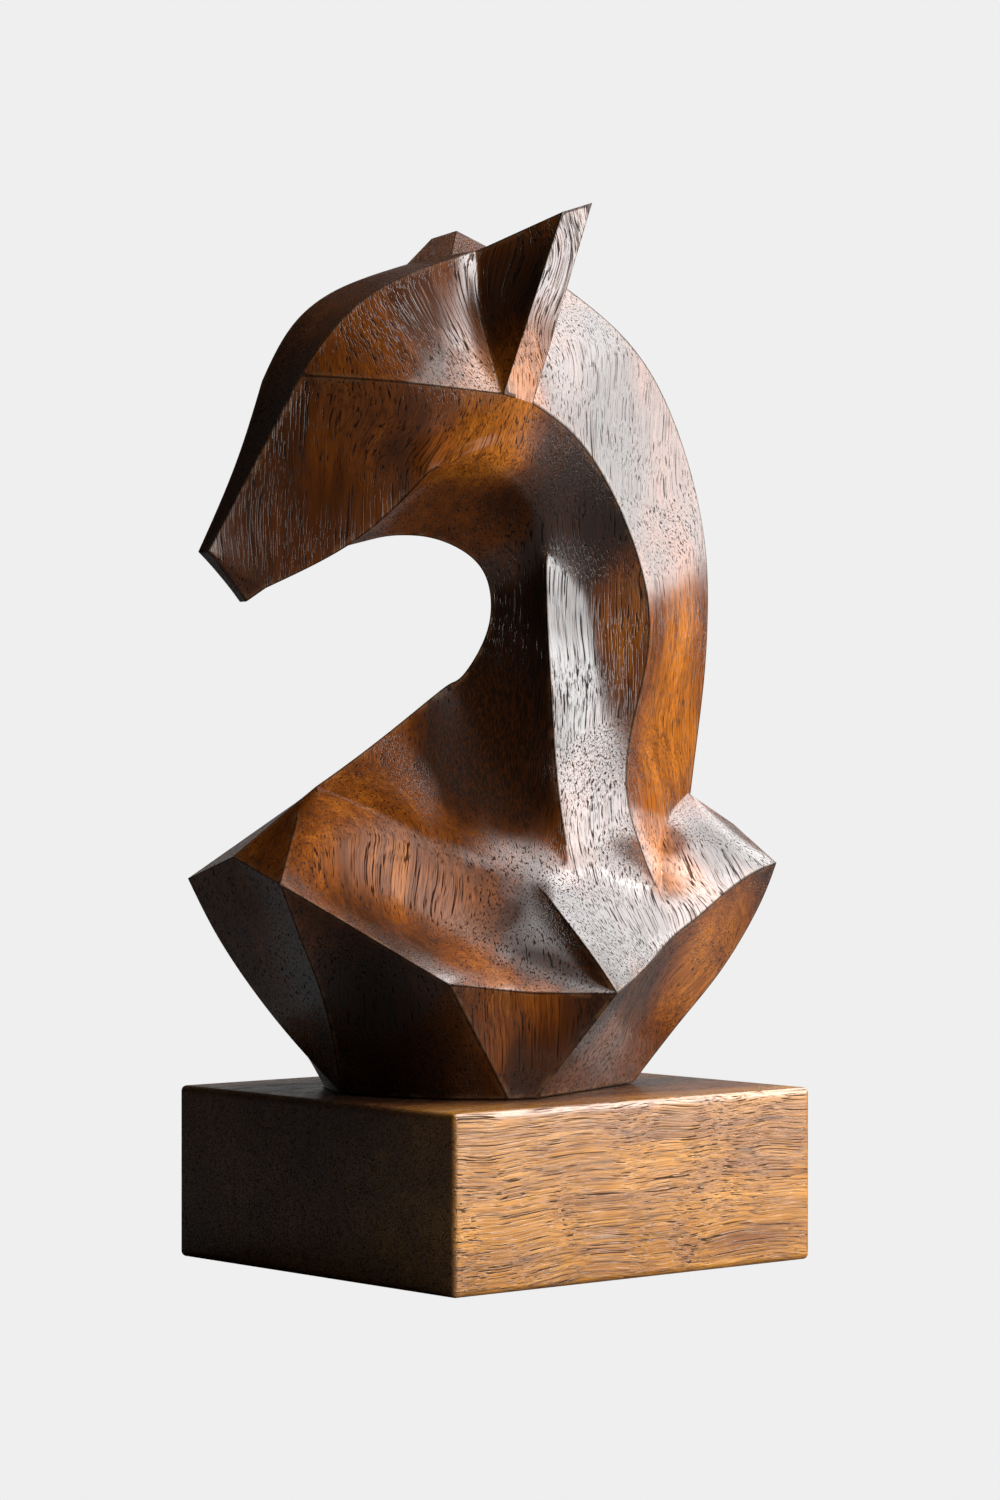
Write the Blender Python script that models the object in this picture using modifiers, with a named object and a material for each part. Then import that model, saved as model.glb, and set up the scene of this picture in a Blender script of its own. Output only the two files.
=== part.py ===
"""A walnut horse in crisp carved facets, standing on a rectangular walnut plinth.

Metres, +Z up. The origin is the middle of the plinth's underside. The plinth's long sides run along Y
and the horse looks towards -Y, turned a little to its right on the plinth.
"""

import math
from collections import Counter

import bmesh
import bpy
from mathutils import Vector

# Driving sizes
PLINTH_LENGTH = 0.1337
PLINTH_WIDTH = 0.1239
PLINTH_HEIGHT = 0.0495
PLINTH_EDGE_RADIUS = 0.0016
HORSE_HEIGHT = 0.251
HORSE_TURN = math.radians(10.0)
SEAT_GAP = 0.0003

# The carving is drawn this high, in millimetres, and then scaled to HORSE_HEIGHT
DRAWN_HEIGHT = 249.5
CARVING_LEVELS = 2

# Shares of a full crease, for ridges that soften or fade away
SOFT = 0.15
FADING = 0.6

# How deep the gouge goes under the jaw and throat, between the rib and the mane, and in the shoulder
THROAT_HOLLOW = 3.0
THROAT_HOLLOW_CENTRE = (30.0, 0.0, 128.0)
FLUTE_DEPTHS = (0.5, 2.4, 5.6, 7.0, 4.6, 2.8, 2.4, 2.8)
SCOOP_DEPTHS = (0.8, 2.8, 4.4, 4.2)
MIDDLE = 0.5

# Points of the horse's left half: (forward, left, up) from the middle of its foot
HEAD = {
    "nose": (92.6, 0.0, 150.8),
    "nose_edge": (92.9, 3.2, 151.0),
    "bridge": (79.9, 0.0, 175.5),
    "bridge_edge": (80.0, 5.8, 175.5),
    "brow": (67.7, 0.0, 199.8),
    "brow_edge": (68.8, 11.5, 199.8),
    "forehead": (57.2, 0.0, 215.7),
    "forehead_edge": (57.6, 15.4, 216.0),
    "forelock": (41.0, 0.0, 228.0),
    "forelock_edge": (41.1, 18.4, 227.8),
    "poll": (17.9, 0.0, 236.4),
    "ear_valley": (15.0, 0.0, 233.0),
    "ear_inner": (17.1, 20.3, 236.4),
    "ear_front": (-0.5, 37.0, 246.5),
    "ear_tip": (-9.6, 38.0, 249.5),
    "ear_root": (17.0, 34.3, 195.2),
    "ear_back": (6.1, 32.0, 193.2),
    "ear_crease_high": (17.4, 20.6, 223.2),
    "ear_crease_low": (16.2, 24.6, 208.9),
    "temple": (46.8, 28.3, 197.7),
    "jaw_angle": (29.8, 26.5, 178.7),
    "jaw_throat": (35.8, 25.8, 173.4),
    "jaw_mid": (41.3, 21.5, 166.1),
    "jaw_low": (54.9, 14.5, 152.8),
    "chin_back": (76.4, 5.5, 141.0),
    "chin_cheek": (83.1, 3.4, 143.1),
    "chin_edge": (80.6, 2.0, 137.3),
    "chin": (80.6, 0.0, 137.3),
    "under_chin": (74.5, 0.0, 141.2),
}

NECK = {
    # Front of the throat and the keel of the breast
    "under_jaw": (47.0, 0.0, 153.5),
    "throat_1": (37.3, 0.0, 156.2),
    "throat_2": (29.2, 0.0, 156.9),
    "throat_3": (21.1, 0.0, 156.5),
    "throat_4": (12.6, 0.0, 154.0),
    "throat_5": (5.6, 0.0, 149.6),
    "throat_6": (1.6, 0.0, 142.6),
    "throat_7": (1.8, 0.0, 130.5),
    "throat_8": (9.6, 0.0, 118.2),
    "throat_9": (13.6, 0.0, 115.6),
    "keel_1": (17.8, 0.0, 113.1),
    "keel_2": (30.9, 0.0, 103.7),
    "keel_3": (45.4, 0.0, 93.8),
    # Rim of the throat's hollow, running down into the rib
    "rim_1": (26.2, 30.3, 177.9),
    "rim_2": (9.2, 27.4, 175.1),
    "rim_3": (-2.4, 20.7, 166.0),
    "rib_0": (-8.1, 15.5, 153.2),
    "rib_1": (-8.5, 15.5, 134.4),
    "rib_2": (-9.2, 17.0, 110.6),
    "rib_3": (-9.4, 17.9, 99.0),
    "rib_4": (-9.7, 19.0, 88.0),
    "rib_5": (-10.4, 21.0, 74.4),
    "rib_end": (-10.6, 25.2, 62.5),
    "fold_0": (3.6, 6.0, 104.0),
    "fold_1": (8.5, 4.6, 96.0),
    "fold_2": (-3.2, 15.2, 76.6),
    # Top of the neck's side, and the floor where the neck runs out on the back
    "cheek_fall": (13.0, 30.2, 187.0),
    "neck_end_1": (-25.2, 24.3, 57.5),
    "neck_end_2": (-13.0, 43.5, 44.7),
    # Left ridge of the mane
    "mane_1": (-9.5, 29.0, 185.0),
    "mane_2": (-22.6, 26.8, 170.5),
    "mane_3": (-33.6, 24.5, 151.2),
    "mane_4": (-38.3, 23.1, 133.8),
    "mane_5": (-37.8, 21.1, 118.0),
    "mane_6": (-34.7, 19.0, 102.3),
    "mane_7": (-33.1, 18.6, 85.2),
    "mane_8": (-36.2, 20.3, 70.8),
    "mane_tip": (-38.7, 27.5, 55.4),
    # Crest of the mane
    "crest_2": (-24.3, 0.0, 230.0),
    "crest_3": (-41.3, 0.0, 219.0),
    "crest_4": (-55.3, 0.0, 204.2),
    "crest_5": (-66.1, 0.0, 181.8),
    "crest_6": (-72.6, 0.0, 157.1),
    "crest_7": (-73.3, 0.0, 134.9),
    "crest_8": (-72.2, 0.0, 117.2),
    "crest_9": (-69.7, 0.0, 99.4),
    "crest_end": (-67.3, 0.0, 82.9),
    "mane_foot_1": (-55.5, 6.7, 76.6),
    "mane_foot_2": (-45.7, 17.7, 64.7),
}

BODY = {
    "breast_top": (57.8, 0.0, 86.0),
    "breast_low": (62.3, 0.0, 82.7),
    "shoulder_top_1": (44.5, 4.8, 80.3),
    "shoulder_top_2": (29.4, 11.8, 72.4),
    "shoulder_top_3": (14.0, 18.3, 65.1),
    "shoulder_top_4": (3.4, 27.5, 58.5),
    "shoulder_back": (1.9, 32.3, 55.7),
    "shoulder_rear": (-1.4, 51.2, 39.7),
    # Shield-shaped facet of the breast
    "shield_peak": (83.9, 0.0, 66.7),
    "shield_corner": (83.8, 28.0, 59.9),
    "shield_1": (76.6, 25.9, 45.0),
    "shield_2": (67.9, 21.6, 30.0),
    "shield_3": (59.2, 12.8, 15.0),
    "shield_line_1": (75.0, 0.0, 45.5),
    "shield_line_2": (67.0, 0.0, 30.4),
    "shield_line_3": (58.7, 0.0, 15.2),
    "flank_top_1": (71.0, 36.1, 51.1),
    "flank_top_2": (58.1, 44.6, 41.9),
    "elbow": (44.3, 51.3, 32.8),
    "belly": (19.2, 54.4, 30.1),
    "stifle": (-5.6, 57.7, 29.2),
    # Edge of the rump, round to the tail
    "rump_edge_1": (-21.0, 48.1, 35.1),
    "rump_edge_2": (-34.1, 41.6, 43.6),
    "rump_edge_3": (-44.2, 37.6, 47.8),
    "rump_edge_4": (-59.6, 31.4, 55.8),
    "rump_edge_5": (-72.6, 27.2, 61.1),
    "rump_corner": (-80.9, 25.0, 63.2),
    "rump_peak": (-82.5, 0.0, 74.1),
    "tail_1": (-76.8, 22.3, 50.7),
    "tail_2": (-65.6, 19.5, 32.2),
    "tail_3": (-53.4, 16.8, 18.1),
    "tail_line_1": (-77.8, 0.0, 53.0),
    "tail_line_2": (-66.6, 0.0, 33.0),
    "tail_line_3": (-54.2, 0.0, 18.1),
}

FOOT = {
    "foot_front": (50.0, 0.0, 0.0),
    "foot_front_1": (47.0, 13.0, 0.0),
    "foot_front_2": (38.0, 31.5, 0.0),
    "foot_side_front": (21.0, 43.5, 0.0),
    "foot_side_rear": (12.1, 43.6, 0.0),
    "foot_side": (-13.0, 29.3, 0.0),
    "foot_rear_corner": (-39.3, 12.7, 0.0),
    "foot_rear": (-40.5, 0.0, 0.0),
}

# Lines that are worked out between two ridges, and the ridges they lie between
THROAT_LINE = "under_jaw throat_1 throat_2 throat_3 throat_4 throat_5 throat_6 throat_7 throat_8"
RIM_LINE = "jaw_low jaw_mid jaw_throat rim_1 rim_2 rim_3 rib_0 rib_1 rib_2"
HOLLOW_LINE = "hollow_0 hollow_1 hollow_2 hollow_3 hollow_4 hollow_5 hollow_6 hollow_7 hollow_8"
RIB_SIDE = "rim_2 rim_3 rib_0 rib_1 rib_2 rib_3 rib_4 rib_5"
MANE_SIDE = "mane_1 mane_2 mane_3 mane_4 mane_5 mane_6 mane_7 mane_8"
FLUTE_LINE = "flute_0 flute_1 flute_2 flute_3 flute_4 flute_5 flute_6 flute_7"
SHOULDER_TOP = "shoulder_top_1 shoulder_top_2 shoulder_top_3 shoulder_top_4"
SHOULDER_FOOT = "shield_corner flank_top_1 flank_top_2 elbow"
SCOOP_LINE = "scoop_1 scoop_2 scoop_3 scoop_4"
FLANK_LINES = [
    "flank_top_1 flank_1 flank_2 flank_3 foot_front_1",
    "flank_top_2 flank_4 flank_5 flank_6 foot_front_2",
    "elbow elbow_1 elbow_2 elbow_3 foot_side_front",
]

# Sheets of the carving, each spanned between two lines of points; a point named twice closes a corner
SHEETS = [
    # Forehead, cheek and temple
    ("nose bridge brow forehead forelock poll",
     "nose_edge bridge_edge brow_edge forehead_edge forelock_edge ear_inner"),
    ("nose_edge nose_edge bridge_edge brow_edge temple ear_root",
     "chin_cheek chin_back jaw_low jaw_mid jaw_throat jaw_angle"),
    ("forehead_edge forelock_edge ear_inner", "brow_edge temple ear_crease_high"),
    ("temple ear_root", "ear_crease_high ear_crease_low"),
    # Muzzle end and chin
    ("nose chin", "nose_edge chin_edge"),
    ("nose_edge chin_edge chin_edge", "chin_cheek chin_cheek chin_back"),
    ("chin under_chin", "chin_edge chin_back"),
    # Ear: front, outer strip, inner faces, back
    ("ear_inner ear_crease_high ear_crease_low ear_root", "ear_front ear_front ear_front ear_front"),
    ("ear_front ear_root", "ear_tip ear_back"),
    ("poll ear_inner ear_front ear_tip crest_2", "ear_valley ear_valley ear_valley ear_valley ear_valley"),
    ("ear_tip ear_back", "crest_2 crest_2"),
    # Hollow of the throat, from the median line out to the jaw, the rim and the rib
    ("under_chin " + THROAT_LINE + " throat_9 keel_1", "chin_back " + HOLLOW_LINE + " fold_0 fold_1"),
    ("chin_back " + HOLLOW_LINE + " fold_0 fold_1 fold_2 rib_end",
     "chin_back " + RIM_LINE + " rib_3 rib_4 rib_5 rib_end"),
    # Breast
    ("breast_top keel_3 keel_2 keel_1", "breast_top shoulder_top_1 shoulder_top_2 fold_1"),
    ("fold_1 fold_2 rib_end rib_end", "shoulder_top_2 shoulder_top_3 shoulder_top_4 shoulder_back"),
    # Fluted side of the neck, and the back below it
    ("jaw_angle cheek_fall", "jaw_throat rim_1"),
    ("rim_1 " + RIB_SIDE + " rib_end", "cheek_fall " + FLUTE_LINE + " neck_end_1"),
    ("jaw_angle cheek_fall cheek_fall " + FLUTE_LINE + " neck_end_1",
     "ear_root ear_root ear_back " + MANE_SIDE + " mane_tip"),
    ("rib_end neck_end_1 mane_tip", "shoulder_back neck_end_2 rump_edge_2"),
    ("shoulder_back neck_end_2 rump_edge_2", "shoulder_rear stifle rump_edge_1"),
    # Mane, and the top of the rump
    ("ear_back ear_back " + MANE_SIDE + " mane_tip",
     "crest_2 crest_3 crest_4 crest_5 crest_6 crest_7 crest_8 crest_9 crest_end mane_foot_1 mane_foot_2"),
    ("mane_tip mane_foot_2 mane_foot_1 crest_end rump_peak",
     "rump_edge_2 rump_edge_3 rump_edge_4 rump_edge_5 rump_corner"),
    # Shoulder, breast facet and shield
    ("breast_top " + SHOULDER_TOP + " shoulder_rear", "breast_top " + SCOOP_LINE + " stifle"),
    ("breast_top " + SCOOP_LINE + " stifle", "breast_low " + SHOULDER_FOOT + " belly"),
    ("shoulder_top_4 shoulder_back", "shoulder_rear shoulder_rear"),
    ("breast_low shield_peak", "shield_corner shield_corner"),
    ("shield_peak shield_line_1 shield_line_2 shield_line_3 foot_front",
     "shield_corner shield_1 shield_2 shield_3 foot_front"),
    # Front flank, rear flank and tail
    ("shield_corner shield_1 shield_2 shield_3 foot_front", "flank_top_1 flank_1 flank_2 flank_3 foot_front_1"),
    ("flank_top_1 flank_1 flank_2 flank_3 foot_front_1", "flank_top_2 flank_4 flank_5 flank_6 foot_front_2"),
    ("flank_top_2 flank_4 flank_5 flank_6 foot_front_2", "elbow elbow_1 elbow_2 elbow_3 foot_side_front"),
    ("stifle rump_edge_1 rump_edge_2 rump_edge_3 rump_edge_4 rump_edge_5 rump_corner",
     "foot_side_rear foot_side foot_rear_corner tail_3 tail_2 tail_1 rump_corner"),
    ("rump_peak tail_line_1 tail_line_2 tail_line_3 foot_rear",
     "rump_corner tail_1 tail_2 tail_3 foot_rear_corner"),
]

# Facets with more than four corners: side and underside
FACETS = [
    "elbow elbow_1 elbow_2 elbow_3 foot_side_front foot_side_rear stifle belly",
    "foot_front foot_front_1 foot_front_2 foot_side_front foot_side_rear foot_side foot_rear_corner foot_rear",
]

# Ridges: lines of points that stay crisp
RIDGES = [
    "nose nose_edge bridge_edge brow_edge forehead_edge forelock_edge ear_inner poll",
    "nose_edge chin_cheek chin_edge chin",
    "chin_cheek chin_back",
    "brow_edge temple ear_root",
    "ear_inner ear_crease_high ear_crease_low ear_root",
    "ear_inner ear_front ear_tip ear_back",
    "ear_front ear_root ear_back crest_2 ear_tip ear_valley ear_inner",
    "poll ear_valley crest_2",
    "ear_root jaw_angle jaw_throat jaw_mid jaw_low chin_back chin_edge",
    "crest_2 crest_3 crest_4 crest_5 crest_6 crest_7 crest_8 crest_9 crest_end rump_peak",
    THROAT_LINE + " throat_9 keel_1 keel_2 keel_3 breast_top breast_low shield_peak",
    "rib_0 rib_1 rib_2 rib_3 rib_4 rib_5",
    "ear_back " + MANE_SIDE + " mane_tip mane_foot_2 mane_foot_1 crest_end",
    "breast_top " + SHOULDER_TOP + " shoulder_back",
    "shoulder_back shoulder_rear stifle",
    "breast_low shield_corner",
    "shield_peak shield_corner shield_1 shield_2 shield_3 foot_front",
    SHOULDER_FOOT + " belly stifle",
    "stifle rump_edge_1 rump_edge_2 rump_edge_3 rump_edge_4 rump_edge_5 rump_corner",
    "elbow elbow_1 elbow_2 elbow_3 foot_side_front",
    "stifle foot_side_rear",
    "rump_peak rump_corner tail_1 tail_2 tail_3 foot_rear_corner",
    "foot_front foot_front_1 foot_front_2 foot_side_front foot_side_rear foot_side foot_rear_corner foot_rear",
]
SOFT_RIDGES = {
    "jaw_throat rim_1 rim_2 rim_3 rib_0": SOFT,
    "rib_5 rib_end": FADING,
}


def clear_objects():
    for item in list(bpy.data.objects):
        bpy.data.objects.remove(item, do_unlink=True)


def new_collection(name):
    collection = bpy.data.collections.new(name)
    bpy.context.scene.collection.children.link(collection)
    return collection


def wood_material(name, colour, roughness):
    material = bpy.data.materials.new(name)
    material.use_nodes = True
    shader = material.node_tree.nodes["Principled BSDF"]
    shader.inputs["Base Color"].default_value = (*colour, 1.0)
    shader.inputs["Roughness"].default_value = roughness
    shader.inputs["Metallic"].default_value = 0.0
    return material


def along(*lines):
    """Walks several lines of points side by side."""
    return zip(*(line.split() for line in lines))


def add_worked_out_points(points):
    """The floors of the throat's hollow, the flute and the shoulder, and the steps down the front flank."""
    centre = Vector(THROAT_HOLLOW_CENTRE)
    for name, inner, outer in along(HOLLOW_LINE, THROAT_LINE, RIM_LINE):
        middle = points[inner].lerp(points[outer], MIDDLE)
        away = middle - centre
        away.y = 0.0
        points[name] = middle + away.normalized() * THROAT_HOLLOW
    for (name, front, rear), depth in zip(along(FLUTE_LINE, RIB_SIDE, MANE_SIDE), FLUTE_DEPTHS):
        points[name] = points[front].lerp(points[rear], MIDDLE) - Vector((0.0, depth, 0.0))
    for (name, top, bottom), depth in zip(along(SCOOP_LINE, SHOULDER_TOP, SHOULDER_FOOT), SCOOP_DEPTHS):
        points[name] = points[top].lerp(points[bottom], MIDDLE) - Vector((0.0, depth, depth))
    for line in FLANK_LINES:
        names = line.split()
        steps = len(names) - 1
        for step in range(1, steps):
            points[names[step]] = points[names[0]].lerp(points[names[steps]], step / steps)


def stand_out(points):
    """Smoothing draws a bent ridge in by a sixth of its bend, so its points stand out by as much."""
    creases = Counter()
    for ridge in RIDGES:
        names = ridge.split()
        for first, second in zip(names, names[1:]):
            leaves_middle = (points[first].y == 0.0) != (points[second].y == 0.0)
            for name in (first, second):
                creases[name] += 2 if leaves_middle and points[name].y == 0.0 else 1
    moved = dict(points)
    for ridge in RIDGES:
        names = ridge.split()
        for before, name, after in zip(names, names[1:], names[2:]):
            if creases[name] == 2:
                bend = points[before] + points[after] - 2.0 * points[name]
                moved[name] = points[name] - bend / 6.0
    return moved


def horse_points():
    points = {}
    for group in (HEAD, NECK, BODY, FOOT):
        for name, place in group.items():
            points[name] = Vector(place)
    add_worked_out_points(points)
    return stand_out(points)


def add_sheet(cage, vertices, first_line, second_line):
    first = [vertices[name] for name in first_line.split()]
    second = [vertices[name] for name in second_line.split()]
    for a, b, c, d in zip(first, first[1:], second[1:], second):
        corners = list(dict.fromkeys((a, b, c, d)))
        cage.faces.new(corners)


def set_creases(cage, vertices, ridge, value, layer):
    names = ridge.split()
    for first, second in zip(names, names[1:]):
        edge = cage.edges.get((vertices[first], vertices[second]))
        edge[layer] = value


def horse_cage():
    """The left half of the horse as an open cage, with its ridges marked as creases."""
    unit = HORSE_HEIGHT / DRAWN_HEIGHT
    cage = bmesh.new()
    vertices = {}
    for name, point in horse_points().items():
        vertices[name] = cage.verts.new(Vector((point.y, -point.x, point.z)) * unit)
    for first_line, second_line in SHEETS:
        add_sheet(cage, vertices, first_line, second_line)
    for facet in FACETS:
        cage.faces.new([vertices[name] for name in facet.split()])
    bmesh.ops.recalc_face_normals(cage, faces=cage.faces)
    layer = cage.edges.layers.float.new("crease_edge")
    for ridge in RIDGES:
        set_creases(cage, vertices, ridge, 1.0, layer)
    for ridge, value in SOFT_RIDGES.items():
        set_creases(cage, vertices, ridge, value, layer)
    mesh = bpy.data.meshes.new("horse")
    cage.to_mesh(mesh)
    cage.free()
    return mesh


def make_horse(collection, material):
    horse = bpy.data.objects.new("horse", horse_cage())
    collection.objects.link(horse)
    horse.location = (0.0, 0.0, PLINTH_HEIGHT + SEAT_GAP)
    horse.rotation_euler = (0.0, 0.0, -HORSE_TURN)
    horse.data.materials.append(material)
    mirror = horse.modifiers.new("mirror", "MIRROR")
    mirror.use_axis = (True, False, False)
    mirror.merge_threshold = 0.00005
    carving = horse.modifiers.new("carving", "SUBSURF")
    carving.levels = CARVING_LEVELS
    carving.render_levels = CARVING_LEVELS
    return horse


def make_plinth(collection, material):
    bpy.ops.mesh.primitive_cube_add(size=1.0, location=(0.0, 0.0, PLINTH_HEIGHT / 2.0))
    plinth = bpy.context.active_object
    plinth.name = "plinth"
    plinth.scale = (PLINTH_WIDTH, PLINTH_LENGTH, PLINTH_HEIGHT)
    bpy.ops.object.transform_apply(location=False, rotation=False, scale=True)
    plinth.data.materials.append(material)
    for owner in list(plinth.users_collection):
        owner.objects.unlink(plinth)
    collection.objects.link(plinth)
    edges = plinth.modifiers.new("eased edges", "BEVEL")
    edges.width = PLINTH_EDGE_RADIUS
    edges.segments = 3
    return plinth


clear_objects()
sculpture = new_collection("horse_sculpture")
make_plinth(sculpture, wood_material("plinth_walnut", (0.24, 0.11, 0.045), 0.45))
make_horse(sculpture, wood_material("horse_walnut", (0.2, 0.08, 0.03), 0.4))
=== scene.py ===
"""A walnut horse in crisp carved facets on its walnut plinth, finished and lit as in a plain studio."""

import math
from collections import Counter

import bmesh
import bpy
from mathutils import Matrix, Vector, kdtree, noise


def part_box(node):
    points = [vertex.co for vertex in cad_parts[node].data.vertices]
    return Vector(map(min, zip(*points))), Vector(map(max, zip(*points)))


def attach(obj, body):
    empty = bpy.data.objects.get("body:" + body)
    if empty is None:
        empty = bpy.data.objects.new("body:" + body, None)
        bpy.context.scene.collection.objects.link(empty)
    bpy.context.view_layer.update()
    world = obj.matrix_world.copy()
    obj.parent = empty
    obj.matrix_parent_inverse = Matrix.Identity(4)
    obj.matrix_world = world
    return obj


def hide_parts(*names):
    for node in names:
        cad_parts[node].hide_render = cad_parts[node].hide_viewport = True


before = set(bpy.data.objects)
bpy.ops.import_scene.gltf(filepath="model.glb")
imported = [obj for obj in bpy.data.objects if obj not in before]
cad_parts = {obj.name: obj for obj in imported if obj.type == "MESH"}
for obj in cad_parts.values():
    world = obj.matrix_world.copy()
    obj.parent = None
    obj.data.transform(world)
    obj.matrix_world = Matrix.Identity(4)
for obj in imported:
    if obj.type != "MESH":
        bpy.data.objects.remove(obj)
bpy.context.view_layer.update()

# THE HORSE
# One block of walnut, sawn to the bowed head, arched neck and faceted body, its facets pared flat and its
# hollows gouged. The arrises are eased with fine paper and the wood is oiled, which leaves its pores open.

HORSE_HEIGHT = 0.251
HORSE_TURN = math.radians(10.0)

# The carving is drawn this high, in millimetres, and then scaled to HORSE_HEIGHT
DRAWN_HEIGHT = 249.5

# How many times smoothing halves the drawn faces
FINISHED_LEVELS = 4

# Shares of a full crease, for ridges that soften or fade away
SOFT = 0.15
FADING = 0.6

# How deep the gouge goes under the jaw and throat, between the rib and the mane, and in the shoulder
THROAT_HOLLOW = 3.0
THROAT_HOLLOW_CENTRE = (30.0, 0.0, 128.0)
FLUTE_DEPTHS = (0.5, 2.4, 5.6, 7.0, 4.6, 2.8, 2.4, 2.8)
SCOOP_DEPTHS = (0.8, 2.8, 4.4, 4.2)
MIDDLE = 0.5

# Points of the horse's left half: (forward, left, up) from the middle of its foot
HEAD = {
    "nose": (92.6, 0.0, 150.8),
    "nose_edge": (92.9, 3.2, 151.0),
    "bridge": (79.9, 0.0, 175.5),
    "bridge_edge": (80.0, 5.8, 175.5),
    "brow": (67.7, 0.0, 199.8),
    "brow_edge": (68.8, 11.5, 199.8),
    "forehead": (57.2, 0.0, 215.7),
    "forehead_edge": (57.6, 15.4, 216.0),
    "forelock": (41.0, 0.0, 228.0),
    "forelock_edge": (41.1, 18.4, 227.8),
    "poll": (17.9, 0.0, 236.4),
    "ear_valley": (15.0, 0.0, 233.0),
    "ear_inner": (17.1, 20.3, 236.4),
    "ear_front": (-0.5, 37.0, 246.5),
    "ear_tip": (-9.6, 38.0, 249.5),
    "ear_root": (17.0, 34.3, 195.2),
    "ear_back": (6.1, 32.0, 193.2),
    "ear_crease_high": (17.4, 20.6, 223.2),
    "ear_crease_low": (16.2, 24.6, 208.9),
    "temple": (46.8, 28.3, 197.7),
    "jaw_angle": (29.8, 26.5, 178.7),
    "jaw_throat": (35.8, 25.8, 173.4),
    "jaw_mid": (41.3, 21.5, 166.1),
    "jaw_low": (54.9, 14.5, 152.8),
    "chin_back": (76.4, 5.5, 141.0),
    "chin_cheek": (83.1, 3.4, 143.1),
    "chin_edge": (80.6, 2.0, 137.3),
    "chin": (80.6, 0.0, 137.3),
    "under_chin": (74.5, 0.0, 141.2),
}

NECK = {
    # Front of the throat and the keel of the breast
    "under_jaw": (47.0, 0.0, 153.5),
    "throat_1": (37.3, 0.0, 156.2),
    "throat_2": (29.2, 0.0, 156.9),
    "throat_3": (21.1, 0.0, 156.5),
    "throat_4": (12.6, 0.0, 154.0),
    "throat_5": (5.6, 0.0, 149.6),
    "throat_6": (1.6, 0.0, 142.6),
    "throat_7": (1.8, 0.0, 130.5),
    "throat_8": (9.6, 0.0, 118.2),
    "throat_9": (13.6, 0.0, 115.6),
    "keel_1": (17.8, 0.0, 113.1),
    "keel_2": (30.9, 0.0, 103.7),
    "keel_3": (45.4, 0.0, 93.8),
    # Rim of the throat's hollow, running down into the rib
    "rim_1": (26.2, 30.3, 177.9),
    "rim_2": (9.2, 27.4, 175.1),
    "rim_3": (-2.4, 20.7, 166.0),
    "rib_0": (-8.1, 15.5, 153.2),
    "rib_1": (-8.5, 15.5, 134.4),
    "rib_2": (-9.2, 17.0, 110.6),
    "rib_3": (-9.4, 17.9, 99.0),
    "rib_4": (-9.7, 19.0, 88.0),
    "rib_5": (-10.4, 21.0, 74.4),
    "rib_end": (-10.6, 25.2, 62.5),
    "fold_0": (3.6, 6.0, 104.0),
    "fold_1": (8.5, 4.6, 96.0),
    "fold_2": (-3.2, 15.2, 76.6),
    # Top of the neck's side, and the floor where the neck runs out on the back
    "cheek_fall": (13.0, 30.2, 187.0),
    "neck_end_1": (-25.2, 24.3, 57.5),
    "neck_end_2": (-13.0, 43.5, 44.7),
    # Left ridge of the mane
    "mane_1": (-9.5, 29.0, 185.0),
    "mane_2": (-22.6, 26.8, 170.5),
    "mane_3": (-33.6, 24.5, 151.2),
    "mane_4": (-38.3, 23.1, 133.8),
    "mane_5": (-37.8, 21.1, 118.0),
    "mane_6": (-34.7, 19.0, 102.3),
    "mane_7": (-33.1, 18.6, 85.2),
    "mane_8": (-36.2, 20.3, 70.8),
    "mane_tip": (-38.7, 27.5, 55.4),
    # Crest of the mane
    "crest_2": (-24.3, 0.0, 230.0),
    "crest_3": (-41.3, 0.0, 219.0),
    "crest_4": (-55.3, 0.0, 204.2),
    "crest_5": (-66.1, 0.0, 181.8),
    "crest_6": (-72.6, 0.0, 157.1),
    "crest_7": (-73.3, 0.0, 134.9),
    "crest_8": (-72.2, 0.0, 117.2),
    "crest_9": (-69.7, 0.0, 99.4),
    "crest_end": (-67.3, 0.0, 82.9),
    "mane_foot_1": (-55.5, 6.7, 76.6),
    "mane_foot_2": (-45.7, 17.7, 64.7),
}

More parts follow.
